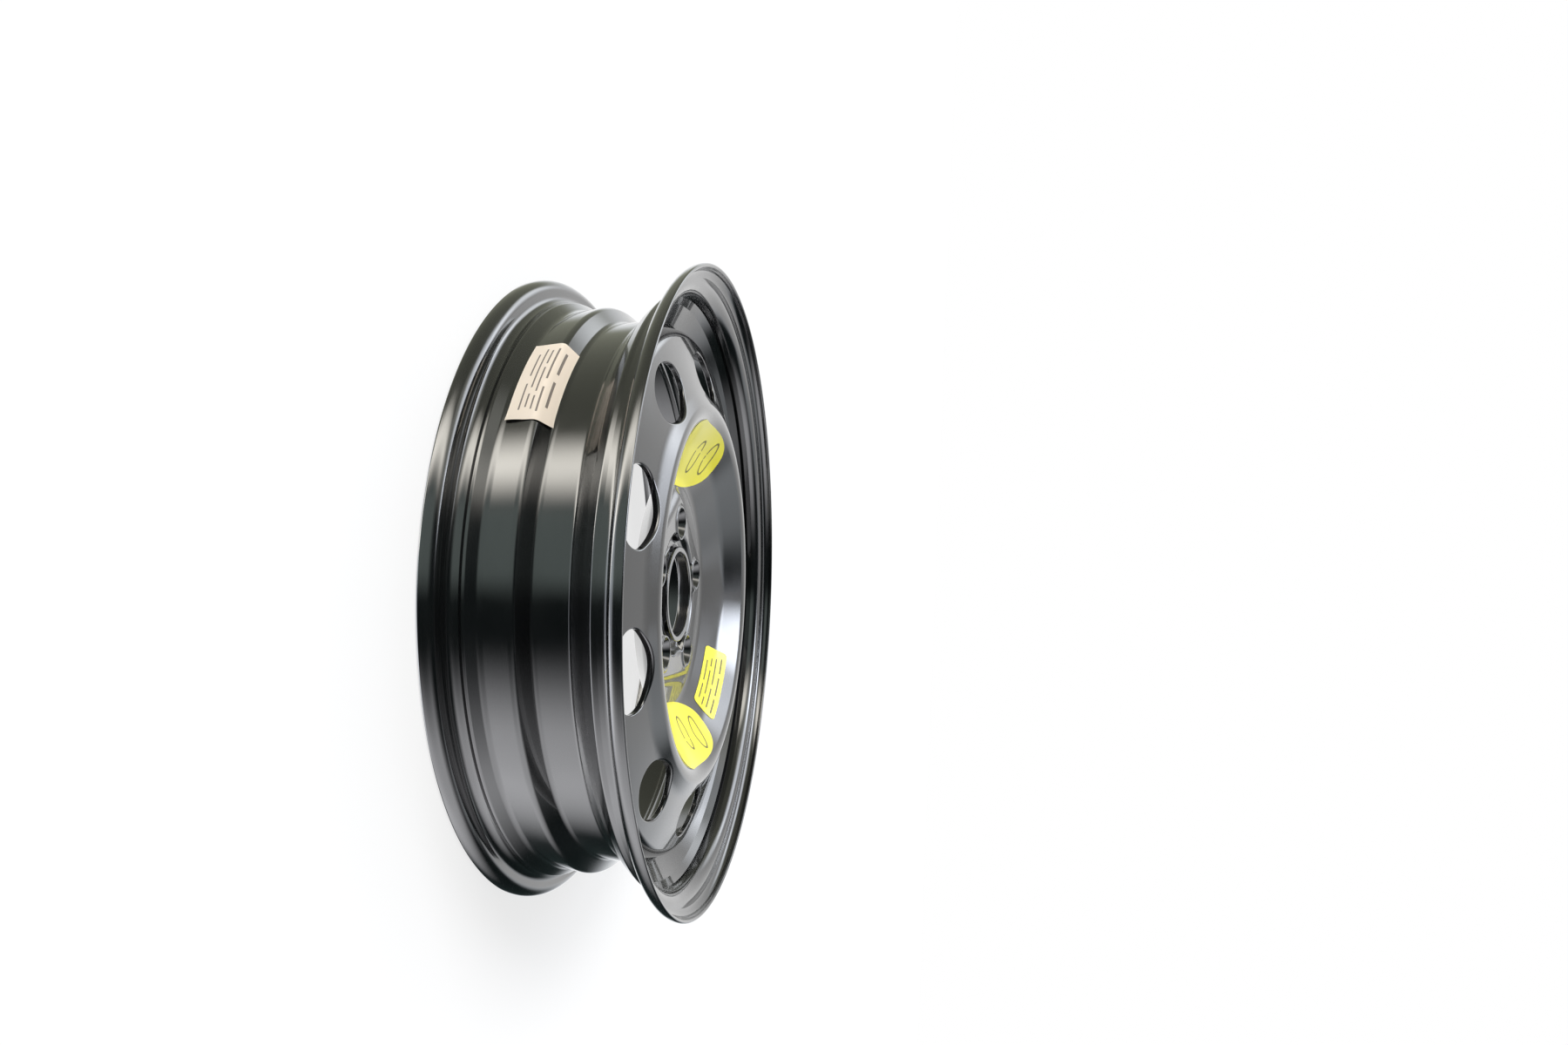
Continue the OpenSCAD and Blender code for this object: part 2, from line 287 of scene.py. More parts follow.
def rim_corners(w):
    """Corners of the tyre side from the inboard lip to the outboard lip."""
    seat_r0, wall = w.seat_d / 2, w.rim_w / 2
    lip, out, well = wall + w.flange_w, w.flange_d / 2, w.well_d / 2

    def seat(z):
        return seat_r0 - (wall - abs(z)) * math.tan(math.radians(SEAT_TAPER))

    def flange(side):
        return [(out - 0.9, side * lip, 0), (out, side * (lip - 1.9), 1.5),
                (out, side * wall, 8.5), (seat_r0, side * wall, 6.5)]

    def hump(z, side):
        return [(seat(z + side * 3.1), z + side * 3.1, 2.5), (seat(z) + 0.9, z, 2.5)]

    ledge = w.ledge_d / 2
    line = flange(-1) + hump(-40.5, -1) + [
        (ledge - 1.2, -33, 6), (ledge, -12, 5), (well, w.well_z - w.well_w, 4.5),
        (well, w.well_z, 4.5), (well + SLOPE, w.well_z + SLOPE, 5)]
    line += hump(38.6, 1)[::-1] + flange(1)[::-1]
    return [(r, z - OFFSET, b) for r, z, b in line]


def well_in(line, r, z):
    """Place along a closed line that is nearest to (r, z)."""
    return int(np.argmin(np.hypot(line[:, 0] - r, line[:, 1] - z)))


class WHEEL_OT_rim(bpy.types.Operator):
    """Rolled rim with rounded lips and the valve hole"""
    bl_idname = "wheel.rim"
    bl_label = "Rim"

    def execute(self, context):
        w = context.scene.wheel_sizes
        p, left = section(rim_corners(w), 9.0)
        low = np.array([w.well_d / 2, w.well_z - OFFSET])
        a, b = low + SLOPE_BEND, low + SLOPE - SLOPE_BEND
        i = next(k for k in range(len(p)) if p[k, 1] > a[1] and p[k, 0] > w.well_d / 2 + 1)
        share = np.linspace(0, 1, PATCH_ROWS)[:, None]
        p = np.vstack([p[:i], a + (b - a) * share, p[i:]])
        left = np.vstack([left[:i], np.repeat(left[i:i + 1], PATCH_ROWS, 0), left[i:]])
        loop, normal = sheet_loop(p, left, w.rim_t)
        angles = 2 * np.pi * np.arange(RIM_COLUMNS) / RIM_COLUMNS
        shell = Shell()
        grid = shell.add(*turn(loop, normal, angles))
        near = list(range(i, i + PATCH_ROWS))
        far = [well_in(loop, *(p[k] + left[k] * w.rim_t)) for k in near]
        cols = np.arange(-PATCH_REACH, PATCH_REACH + 1) % RIM_COLUMNS
        gone = np.zeros(grid.shape, bool)
        for rows in (near, far):
            gone[np.ix_(np.minimum(rows[:-1], rows[1:]), cols[:-1])] = True
        shell.wrap(grid, gone)
        self.valve_hole(shell, grid, near, far, cols, p, left, w)
        rim = shell.make("rim_rolled", finish("enamel"))
        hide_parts("rim")
        return {"FINISHED"}

    def valve_hole(self, shell, grid, near, far, cols, p, left, w):
        """Fills the patch that was left open in the slope with a round-edged hole."""
        slope, out = along(left[near[0]]), -left[near[0]]
        middle = (p[near[0]] + p[near[-1]]) / 2
        rise = np.linspace(-1, 1, PATCH_ROWS)[:-1]
        run = np.linspace(-1, 1, 2 * PATCH_REACH + 1)[:-1]
        v = np.concatenate([0 * run - 1, rise, 0 * run + 1, -rise])
        u = np.concatenate([run, 0 * rise + 1, -run, 0 * rise - 1])
        half_u = middle[0] * 2 * math.pi * PATCH_REACH / RIM_COLUMNS
        half_v = np.linalg.norm(p[near[-1]] - p[near[0]]) / 2
        a = np.arctan2(v * half_v, u * half_u)
        hole_r, edge = w.valve_d / 2, 0.5
        row = around(grid, near, cols)
        rings = []
        for depth, sign in ((0, 1), (w.rim_t, -1)):
            part = []
            for f in (0, 22, 45, 68, 90):
                s, c = math.sin(math.radians(f)), math.cos(math.radians(f))
                part.append((hole_r + edge * (1 - s), depth + sign * edge * (1 - c), s, sign * c))
            rings += part if sign > 0 else part[::-1]
        for r, depth, inward, outward in rings:
            th = r * np.cos(a) / middle[0]
            q = middle + np.outer(r * np.sin(a), slope) - out * depth
            e = np.stack([np.cos(th), np.sin(th)], 1)
            xyz = np.concatenate([q[:, :1] * e, q[:, 1:]], 1)
            side = -np.outer(np.sin(a), slope) * inward + out * outward
            swing = -np.cos(a) * inward
            n = np.concatenate([side[:, :1] * e + swing[:, None] * np.stack([-e[:, 1], e[:, 0]], 1),
                                side[:, 1:]], 1)
            row = shell.grow(row, xyz, n)
        shell.band(row, around(grid, far, cols))


# ---------------------------------------------------------------- disc


DISC_COLUMNS = 360
# Columns from the middle of a vent's or a bolt seat's patch to its edge.
VENT_REACH = 13
BOLT_REACH = 18
# Radius of the corners of the star's core, and height of the skirt's lower edge.
STAR_CORNER_R = 65.51
SKIRT_Z = -19.0


def skirt_r(w):
    """Outside radius of the disc's skirt, which sits in the rim's well."""
    return w.well_d / 2 - w.rim_t - FIT_GAP


def ease(t):
    """Smooth step from 0 to 1."""
    t = np.clip(t, 0, 1)
    return 0.5 - 0.5 * np.cos(np.pi * t)


def from_bolt(x, y, bolt_r):
    """Distance to the nearest bolt's axis, and to the core of the star."""
    r, th = np.hypot(x, y), np.degrees(np.arctan2(y, x)) - UP
    th = np.radians(np.abs((th + 36) % 72 - 36))
    px, py = r * np.cos(th), r * np.sin(th)
    bolt = np.hypot(px - bolt_r, py)
    c, half = STAR_CORNER_R, math.radians(36)
    t = -(px - c) * math.sin(half) + py * math.cos(half)
    flat = px * math.cos(half) + py * math.sin(half) - c * math.cos(half)
    core = np.where(flat <= 0, 0, np.where(t >= 0, flat, np.hypot(px - c, py)))
    return bolt, core


class DiscForm:
    """Both faces of the pressed disc as heights over the hub face."""

    def __init__(self, w):
        self.w = w
        t, skirt = w.disc_t, skirt_r(w)
        bore, wall = w.bore_d / 2, w.bore_d / 2 + w.collar_t
        self.main = [(skirt, SKIRT_Z, 0), (skirt, -2, 14), (192.6, 14.8, 9), (150, 27.2, 36),
                     (134.5, 35.3, 11), (112, 17.6, 46), (88, t, 15)]
        dense, left = section(self.main + [(60, t, 0)], 1.0)
        under = dense + left * t
        self.top = dense[dense[:, 0] < 189][::-1]
        self.bottom = under[under[:, 0] < 187][::-1]
        self.collar = section([(60, t, 0), (wall, t, 2.2), (wall, w.collar_h, 1.3),
                               (bore, w.collar_h, 1.3), (bore, 0, 2.4), (60, 0, 0)], 9.0)

    def over(self, x, y):
        """Height of the outboard face."""
        w, r = self.w, np.hypot(x, y)
        base = np.interp(r, self.top[:, 0], self.top[:, 1])
        bolt, core = from_bolt(x, y, w.bolt_pcd / 2)
        rise = w.star_h - w.disc_t
        star = base + rise * ease((17.6 - core) / 11.5) * ease((r - 42.2) / 6.0)
        return star + (w.boss_h - star) * ease((15.2 - bolt) / 2.8)

    def under(self, x, y):
        """Height of the inboard face."""
        w, r = self.w, np.hypot(x, y)
        base = np.interp(r, self.bottom[:, 0], self.bottom[:, 1])
        bolt, core = from_bolt(x, y, w.bolt_pcd / 2)
        hollow = (w.star_h - w.disc_t) * ease((14.0 - core) / 10.0) * ease((r - 44.0) / 6.0)
        return base + hollow * ease((bolt - 12.8) / 2.4)

    def normal(self, height, x, y, sign):
        """Normal of a face from its slope, up for sign 1 and down for sign -1."""
        e = 0.02
        dx = (height(x + e, y) - height(x - e, y)) / (2 * e)
        dy = (height(x, y + e) - height(x, y - e)) / (2 * e)
        return sign * np.stack([-dx, -dy, np.ones_like(dx)], -1)

    def normal_over(self, x, y):
        return self.normal(self.over, x, y, 1)

    def normal_under(self, x, y):
        return self.normal(self.under, x, y, -1)


def vent_outline(w, angles):
    """Oval of two end arcs and two side arcs: place and outward normal at each angle."""
    b, e = w.vent_w / 2, w.vent_l / 2 - w.vent_end_r
    side_r = (e * e + b * b - w.vent_end_r ** 2) / (2 * (b - w.vent_end_r))
    place, normal = np.zeros((len(angles), 2)), np.zeros((len(angles), 2))
    limit = e / (side_r - w.vent_end_r)
    for i, a in enumerate(angles):
        d = np.array([math.cos(a), math.sin(a)])
        sx, sy = (1 if d[0] >= 0 else -1), (1 if d[1] >= 0 else -1)
        centre = np.array([-sx * (side_r - b), 0.0])
        k = d @ centre
        t = k + math.sqrt(k * k - centre @ centre + side_r ** 2)
        n = (t * d - centre) / side_r
        if abs(n[1]) > limit:
            centre = np.array([0.0, sy * e])
            k = d @ centre
            t = k + math.sqrt(k * k - centre @ centre + w.vent_end_r ** 2)
            n = (t * d - centre) / w.vent_end_r
        place[i], normal[i] = t * d, n
    return place, normal


class WHEEL_OT_disc(bpy.types.Operator):
    """Pressed disc with ten vents, star nave, bolt seats and drawn collar"""
    bl_idname = "wheel.disc"
    bl_label = "Disc"

    def execute(self, context):
        w = context.scene.wheel_sizes
        form = DiscForm(w)
        shell = Shell()
        angles = np.radians(UP) + 2 * np.pi * np.arange(DISC_COLUMNS) / DISC_COLUMNS
        vent_r, nave_r = np.linspace(186.2, 142.3, 17), np.linspace(71.5, 39.2, 21)
        edge_r = np.linspace(90, 73.2, 10)
        rows, spans = [], {}
        line, left = section(form.main + [(60, w.disc_t, 0)], 6.0)
        under = line + left * w.disc_t
        line[0] += along(left[0]) * w.disc_t / 2
        under[0] += along(left[0]) * w.disc_t / 2

        def plain(points, normals, low, high):
            for q, n in zip(points, normals):
                if low < q[0] < high:
                    rows.append(("plain", q, n))

        def field(kind, radii, name=None):
            if name:
                spans[name] = (len(rows), len(rows) + len(radii))
            for r in radii:
                rows.append((kind, r, None))

        plain(line, -left, vent_r[0] + 0.8, 999)
        field("over", vent_r, "vent_over")
        plain(line, -left, edge_r[0] + 0.8, vent_r[-1] - 0.5)
        field("over", edge_r)
        field("over", nave_r, "bolt_over")
        q, n = form.collar
        plain(q, -n, 0, 39.0)
        field("under", nave_r[::-1], "bolt_under")
        field("under", edge_r[::-1])
        plain(under[::-1], left[::-1], edge_r[0] + 0.8, vent_r[-1] - 0.5)
        field("under", vent_r[::-1], "vent_under")
        plain(under[::-1], left[::-1], vent_r[0] + 0.3, 999)
        for q, n in zip(*cap(line[0], left[0], w.disc_t, -1)):
            rows.append(("plain", q, n))

        grid = []
        for kind, q, n in rows:
            if kind == "plain":
                xyz, nrm = turn(q[None], n[None], angles)
                grid.append(shell.add(xyz[0], nrm[0]))
            else:
                x, y = q * np.cos(angles), q * np.sin(angles)
                height = form.over if kind == "over" else form.under
                sign = 1 if kind == "over" else -1
                grid.append(shell.add(np.stack([x, y, height(x, y)], 1),
                                      form.normal(height, x, y, sign)))
        grid = np.array(grid)
        gone = np.zeros(grid.shape, bool)
        for kind, count, reach in (("vent", 10, VENT_REACH), ("bolt", 5, BOLT_REACH)):
            for side in ("over", "under"):
                first, last = spans[f"{kind}_{side}"]
                for k in range(count):
                    c = k * DISC_COLUMNS // count
                    gone[first:last - 1, np.arange(c - reach, c + reach) % DISC_COLUMNS] = True
        shell.wrap(grid, gone)
        for k in range(10):
            self.vent(shell, grid, spans, form, angles, k * DISC_COLUMNS // 10)
        for k in range(5):
            self.bolt(shell, grid, spans, form, angles, k * DISC_COLUMNS // 5)
        disc = shell.make("disc_pressed", finish("enamel"))
        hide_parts("disc")
        return {"FINISHED"}

    def patch_edge(self, grid, span, column, reach, outer_first):
        """Grid vertices round a patch, turning anticlockwise as seen from outboard."""
        rows = list(range(*span))
        if not outer_first:
            rows = rows[::-1]
        cols = np.arange(column - reach, column + reach + 1) % DISC_COLUMNS
        return around(grid, rows, cols)

    def fill(self, shell, row, target_xy, height, normal, rings, power):
        """Rings that lead from a patch's edge to the outline of its hole."""
        p = np.vstack(shell.points)[row][:, :2]
        for m in range(1, rings + 1):
            t = (1 - m / rings) ** power
            xy = target_xy + (p - target_xy) * t
            row = shell.grow(row, np.column_stack([xy, height(*xy.T)]), normal(*xy.T))
        return row

    def vent(self, shell, grid, spans, form, angles, column):
        """One oval vent with rounded edges, through both patches left open for it."""
        w = form.w
        th = angles[column]
        e_r, e_t = np.array([math.cos(th), math.sin(th)]), np.array([-math.sin(th), math.cos(th)])
        middle = e_r * w.vent_pitch_r
        start = self.patch_edge(grid, spans["vent_over"], column, VENT_REACH, True)
        stop = self.patch_edge(grid, spans["vent_under"], column, VENT_REACH, False)
        p = np.vstack(shell.points)[start][:, :2] - middle
        place, out = vent_outline(w, np.arctan2(p @ e_t, p @ e_r))
        place = middle + place @ np.stack([e_r, e_t])
        out = out @ np.stack([e_r, e_t])
        top, low = form.normal_over, form.normal_under
        edge_over, edge_under = 1.3, 0.6
        row = self.fill(shell, start, place + out * edge_over, form.over, top, 7, 1.2)
        for height, normal, edge, side, turns in (
                (form.over, top, edge_over, 1, (18, 36, 54, 72, 90)),
                (form.under, low, edge_under, -1, (90, 60, 30, 0))):
            for f in np.radians(turns):
                xy = place + out * edge * (1 - math.sin(f))
                n = normal(*xy.T)
                n = n / np.linalg.norm(n, axis=1)[:, None] * math.cos(f)
                n[:, :2] -= out * math.sin(f)
                z = height(*xy.T) - side * edge * (1 - math.cos(f))
                row = shell.grow(row, np.column_stack([xy, z]), n)
        p2 = np.vstack(shell.points)[stop][:, :2]
        for m in range(1, 5):
            t = (m / 5) ** 1.2
            xy = (place + out * edge_under) + (p2 - place - out * edge_under) * t
            row = shell.grow(row, np.column_stack([xy, form.under(*xy.T)]), low(*xy.T))
        shell.band(row, stop)

    def bolt(self, shell, grid, spans, form, angles, column):
        """One coned bolt seat and its hole, through both patches left open for it."""
        w = form.w
        th = angles[column]
        middle = np.array([math.cos(th), math.sin(th)]) * w.bolt_pcd / 2
        start = self.patch_edge(grid, spans["bolt_over"], column, BOLT_REACH, True)
        stop = self.patch_edge(grid, spans["bolt_under"], column, BOLT_REACH, False)
        p = np.vstack(shell.points)[start][:, :2] - middle
        out = p / np.linalg.norm(p, axis=1)[:, None]
        top, low = form.normal_over, form.normal_under
        edge, hole, drop = 0.7, w.bolt_d / 2, math.radians(60)
        row = self.fill(shell, start, middle + out * (w.seat_r + edge), form.over, top, 14, 1.1)
        seat_z = w.boss_h - (w.seat_r - hole) / math.tan(math.radians(30))
        rings = []
        for f in np.radians([15, 30, 45, 60]):
            rings.append((w.seat_r + edge * (1 - math.sin(f) / math.sin(drop)),
                          w.boss_h - edge * (1 - math.cos(f)), -math.sin(f), math.cos(f)))
        rings += [(hole + 0.35, seat_z + 0.6, -math.sin(drop), math.cos(drop)),
                  (hole + 0.1, seat_z + 0.1, -0.97, 0.26), (hole, seat_z - 0.3, -1, 0),
                  (hole, 0.4, -1, 0), (hole + 0.12, 0.12, -0.7, -0.7), (hole + 0.4, 0, 0, -1)]
        for r, z, n_out, n_z in rings:
            row = shell.grow(row, np.column_stack([middle + out * r, np.full(len(out), z)]),
                             np.column_stack([out * n_out, np.full(len(out), n_z)]))
        p2 = np.vstack(shell.points)[stop][:, :2]
        inner = middle + out * (hole + 0.4)
        for m in range(1, 8):
            xy = inner + (p2 - inner) * m / 8
            row = shell.grow(row, np.column_stack([xy, form.under(*xy.T)]), low(*xy.T))
        shell.band(row, stop)


# ---------------------------------------------------------------- welds


# Leg of a bead in millimetres, and the part of the ring that it fills in degrees.
WELD_LEG = 3.8
WELD_ARC = 30.0


class WHEEL_OT_welds(bpy.types.Operator):
    """Arc-weld beads between the disc's skirt and the rim's well"""
    bl_idname = "wheel.welds"
    bl_label = "Welds"

    def execute(self, context):
        w = context.scene.wheel_sizes
        skirt, low = skirt_r(w), SKIRT_Z - FIT_GAP
        shell = Shell()
        for k in range(5):
            first = UP + (k + 0.5) * 72 - WELD_ARC / 2
            rows = []
            for i in range(121):
                t = i / 120
                ends = min(1, math.sqrt(max(0.0, 1 - max(0, abs(2 * t - 1) * 12 - 11) ** 2)))
                ripple = 1 + 0.07 * math.sin(i * 1.9 + 2 * k) + 0.04 * math.sin(i * 0.45 + k)
                size = WELD_LEG * max(0.06, ends) * ripple * 0.95
                th = math.radians(first + WELD_ARC * t)
                f = np.linspace(0, 1, 9)
                r = skirt - size * (1 - f)
                z = low - size * f - 0.10 * size * np.sin(np.pi * f)
                r = r - 0.10 * size * np.sin(np.pi * f)
                r = np.append(r, skirt)
                z = np.append(z, low)
                p = np.stack([r * math.cos(th), r * math.sin(th), z], 1)
                n = np.stack([-(1 - f) - 0.5, f * 0, -f - 0.5], 1)
                n = np.vstack([n, [1, 0, 1]])
                n = np.stack([n[:, 0] * math.cos(th), n[:, 0] * math.sin(th), n[:, 2]], 1)
                rows.append(shell.add(p, n))
            for a, b in zip(rows[:-1], rows[1:]):
                shell.band(b, a)
            shell.faces += [rows[0], rows[-1][::-1]]
        welds = shell.make("welds_beaded", finish("weld"))
        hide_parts("rim_disc_welds")
        return {"FINISHED"}


# ---------------------------------------------------------------- labels


def ring_on(shell, place, normal, low, high):
    """A closed thin ring between two offsets of a ribbon that meets itself."""
    top = shell.add(place + normal * high, normal)
    base = shell.add(place + normal * low, -normal)
    corners = (top[:, 0], top[:, 1], base[:, 1], base[:, 0])
    for a, b in zip(corners, corners[1:] + corners[:1]):
        shell.band(a, b)


def sheet_on(shell, place, normal, low, high):
    """A closed thin sheet between two offsets of a grid of places."""
    top = shell.add(place + normal * high, normal)
    base = shell.add(place + normal * low, -normal)
    for a, b in zip(top[:-1], top[1:]):
        shell.band(a, b, closed=False)
    for a, b in zip(base[:-1], base[1:]):
        shell.band(b, a, closed=False)
    ring_t = np.concatenate([top[0, :-1], top[:-1, -1], top[-1, :0:-1], top[:0:-1, 0]])
    ring_b = np.concatenate([base[0, :-1], base[:-1, -1], base[-1, :0:-1], base[:0:-1, 0]])
    shell.band(ring_b, ring_t)


def oval_part(middle, half_u, half_v, power, limit_r, count=61, across=13):
    """Grid of places in a full oval that ends where the bowl turns up into the crown."""
    share = -np.cos(np.pi * (np.arange(count) + 0.35) / (count - 0.3))
    h = half_v * (1 - np.abs(share) ** power) ** (1 / power)
    u = middle[0] + half_u * share
    top = np.minimum(middle[1] + h, np.sqrt(limit_r ** 2 - u ** 2))
    low = middle[1] - h
    v = np.linspace(0, 1, across)
    return u[:, None] + 0 * v, low[:, None] + np.maximum(top - low, 0.2)[:, None] * v


def ring_part(r0, r1, a0, a1, corner, count=41, across=11):
    """Grid of places in a part of a ring with rounded corners."""
    s = (1 - np.cos(np.pi * np.arange(count) / (count - 1))) / 2
    mid = math.radians(a1 - a0) * (r0 + r1) / 2
    d = np.minimum(s, 1 - s) * mid
    cut = np.where(d < corner, corner - np.sqrt(np.maximum(0, corner ** 2 - (corner - d) ** 2)), 0)
    a = np.radians(a0 + (a1 - a0) * s)
    v = np.linspace(0, 1, across)
    r = (r0 + cut)[:, None] + (r1 - r0 - 2 * cut)[:, None] * v
    return r * np.cos(a)[:, None], r * np.sin(a)[:, None]


def on_disc(form, x, y):
    """Places and unit normals on the disc's outboard face."""
    z = form.over(x, y)
    n = form.normal(form.over, x, y, 1)
    n /= np.linalg.norm(n, axis=-1)[..., None]
    return np.stack([x, y, z], -1), n


def ribbon(line, width, closed=False):
    """Grid of two rows beside a flat line."""
    ahead = np.roll(line, -1, 0) if closed else np.vstack([line[1:], line[-1:] * 2 - line[-2:-1]])
    behind = np.roll(line, 1, 0) if closed else np.vstack([line[:1] * 2 - line[1:2], line[:-1]])
    d = ahead - behind
    n = np.stack([-d[:, 1], d[:, 0]], 1) / np.linalg.norm(d, axis=1)[:, None]
    a, b = line - n * width / 2, line + n * width / 2
    return np.stack([a[:, 0], b[:, 0]], 1), np.stack([a[:, 1], b[:, 1]], 1)


# The oval labels: middle, half sizes, fullness, and radius where the bowl turns up.
OVAL = ((-8.0, 105.0), 61.0, 22.5, 2.5, 129.5)
# The strip: inner and outer radius, first and last angle, corner radius.
STRIP = (99.5, 121, -57, -24, 3.5)
# Plain rings on each oval label: middles, half sizes, line width.
RING_MIDDLES = ((11.0, 106.0), (34.5, 107.5))
RING_U, RING_V, RING_LINE = 5.8, 11.5, 1.5
# Plain bars on the strip: radius, first and last angle; then their width.
STRIP_BARS = (
    (117, -55, -47), (117, -45, -36), (117, -34, -27), (112.5, -54, -43), (112.5, -41, -28),
    (108, -55, -50), (108, -48, -35), (108, -33, -29), (103.5, -53, -44), (103.5, -42, -31))
BAR_LINE = 1.3
# The paper: its height range, its angles, and its bars as height, then first and last angle.
PAPER_Z = (-53.95, -26.4)
PAPER_ANGLES = (132.75, 152.25)
PAPER_BARS = (
    (-31.0, ((135, 141), (143, 149))), (-35.0, ((134.5, 143), (145, 150.5))),
    (-39.0, ((135, 139), (140, 146), (147, 150))), (-43.0, ((134.5, 145), (146.5, 149.5))),
    (-47.0, ((136, 142), (144, 150))))
PAPER_BAR_HALF = 0.55
# How far the ink's solids reach below and above a label's face.
INK_LOW, INK_HIGH = -0.02, 0.04


class WHEEL_OT_disc_labels(bpy.types.Operator):
    """Yellow film labels in the bowl of the disc, with plain marks"""
    bl_idname = "wheel.disc_labels"
    bl_label = "Disc labels"

    def execute(self, context):
        w = context.scene.wheel_sizes
        form = DiscForm(w)
        high = FIT_GAP + w.label_t
        for name, side in (("upper_oval_label", 1), ("lower_oval_label", -1)):
            u, v = oval_part(*OVAL)
            self.label(form, name, u, side * v, high, side)
        self.label(form, "strip_label", *ring_part(*STRIP), high, 1)
        marks = Shell()
        for side in (1, -1):
            for mx, my in RING_MIDDLES:
                t = np.linspace(0, 2 * np.pi, 49)[:-1]
                line = np.stack([mx + RING_U * np.cos(t), side * (my + RING_V * np.sin(t))], 1)
                x, y = ribbon(line, RING_LINE, closed=True)
                p, n = on_disc(form, x, y)
                ring_on(marks, p, n, high + INK_LOW, high + INK_HIGH)
        for r, a0, a1 in STRIP_BARS:
            t = np.radians(np.linspace(a0, a1, 9))
            x, y = ribbon(np.stack([r * np.cos(t), r * np.sin(t)], 1), BAR_LINE)
            p, n = on_disc(form, x, y)
            sheet_on(marks, p, n, high + INK_LOW, high + INK_HIGH)
        ink = marks.make("film_marks", finish("film_ink"))
        return {"FINISHED"}

    def label(self, form, name, x, y, high, side):
        """One film label, whose rows are turned round where side is -1."""
        p, n = on_disc(form, x, y)
        if side < 0:
            p, n = p[::-1], n[::-1]
        shell = Shell()
        sheet_on(shell, p, n, FIT_GAP, high)
        made = shell.make(name + "_film", finish("film"))
        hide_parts(name)


class WHEEL_OT_rim_label(bpy.types.Operator):
    """Cream paper label on the ledge of the rim, with plain marks"""
    bl_idname = "wheel.rim_label"
    bl_label = "Rim label"

    def execute(self, context):
        w = context.scene.wheel_sizes
        line, left = section(rim_corners(w), 2.0)
        keep = (line[:, 1] > -70) & (line[:, 1] < 0)
        self.line, self.out = line[keep], -left[keep]
        high = FIT_GAP + w.label_t
        a = np.radians(np.linspace(*PAPER_ANGLES, 49))
        z = np.linspace(*PAPER_Z, 25)
        shell = Shell()
        p, n = self.on_rim(a[:, None] + 0 * z, z + 0 * a[:, None])
        lift = self.curl(a, z)
        p = p + n * lift[..., None]
        sheet_on(shell, p, n, FIT_GAP, high)
        paper = shell.make("rim_paper", finish("paper"))
        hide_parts("rim_paper_label")
        marks = Shell()
        for zc, spans in PAPER_BARS:
            for a0, a1 in spans:
                a = np.radians(np.linspace(a0, a1, 9))
                z = np.array([zc - PAPER_BAR_HALF, zc + PAPER_BAR_HALF])
                p, n = self.on_rim(a[:, None] + 0 * z, z + 0 * a[:, None])
                p = p + n * self.curl(a, z)[..., None]
                sheet_on(marks, p, n, high + INK_LOW, high + INK_HIGH)
        ink = marks.make("paper_marks", finish("paper_ink"))
        return {"FINISHED"}

    def curl(self, a, z):
        """Lift of the paper where its lower edge has come loose."""
        t = np.clip((np.degrees(a) - 149.0) / 3.25, 0, 1)[:, None]
        return 1.6 * t ** 2 * (0.6 + 0.4 * np.cos((z + 50) / 4.0))[None, :]

    def on_rim(self, a, z):
        """Places and normals on the rim's tyre side."""
        r = np.interp(z, self.line[:, 1], self.line[:, 0])
        nr = np.interp(z, self.line[:, 1], self.out[:, 0])
        nz = np.interp(z, self.line[:, 1], self.out[:, 1])
        c, s = np.cos(a), np.sin(a)
        return np.stack([r * c, r * s, z], -1), np.stack([nr * c, nr * s, nz], -1)


# ---------------------------------------------------------------- finishes


def node(tree, kind, links=(), **settings):
    """Adds a node, sets its inputs or attributes, and links sockets into it."""
    made = tree.nodes.new(kind)
    for key, value in settings.items():
        if hasattr(made, key):
            setattr(made, key, value)
        else:
            made.inputs[key.replace("_", " ")].default_value = value
    for socket, source in links:
        tree.links.new(source, made.inputs[socket])
    return made


def surface(name, base, roughness, **extra):
    """A plain shader with constant sockets."""
    made = bpy.data.materials.new(name)
    made.use_nodes = True
    shader = made.node_tree.nodes["Principled BSDF"]
    shader.inputs["Base Color"].default_value = (*base, 1)
    shader.inputs["Roughness"].default_value = roughness
    for key, value in extra.items():
        shader.inputs[key.replace("_", " ")].default_value = value
    return made


def finish(name):
    """The material of a finish."""
    return bpy.data.materials[FINISH_NAMES[name]]


FINISH_NAMES = {
    "enamel": "gloss_black_stoved_enamel",
    "weld": "black_enamel_over_weld",
    "paper": "cream_label_paper",
    "paper_ink": "grey_printing_ink",
    "film": "yellow_vinyl_film",
    "film_ink": "olive_printing_ink",
    "floor": "pale_floor",
}


def grain(made, size_mm, depth_mm, low, high, detail=3.0):
    """Gives a shader a fine uneven surface: noise of one size drives its bump and its roughness."""
    tree = made.node_tree
    shader = tree.nodes["Principled BSDF"]
    place = node(tree, "ShaderNodeTexCoord").outputs["Object"]
    noise = node(tree, "ShaderNodeTexNoise", [("Vector", place)], Scale=1000 / size_mm,
                 Detail=detail, Roughness=0.5)
    bump = node(tree, "ShaderNodeBump", [("Height", noise.outputs["Fac"])], Strength=1.0,
                Distance=depth_mm * MM)
    cloud = node(tree, "ShaderNodeTexNoise", [("Vector", place)], Scale=1000 / (12 * size_mm),
                 Detail=2.0)
    tone = node(tree, "ShaderNodeMapRange", [("Value", cloud.outputs["Fac"])])
    for key, value in (("From Min", 0.3), ("From Max", 0.7), ("To Min", low), ("To Max", high)):
        tone.inputs[key].default_value = value
    tree.links.new(bump.outputs["Normal"], shader.inputs["Normal"])
    tree.links.new(tone.outputs[0], shader.inputs["Roughness"])


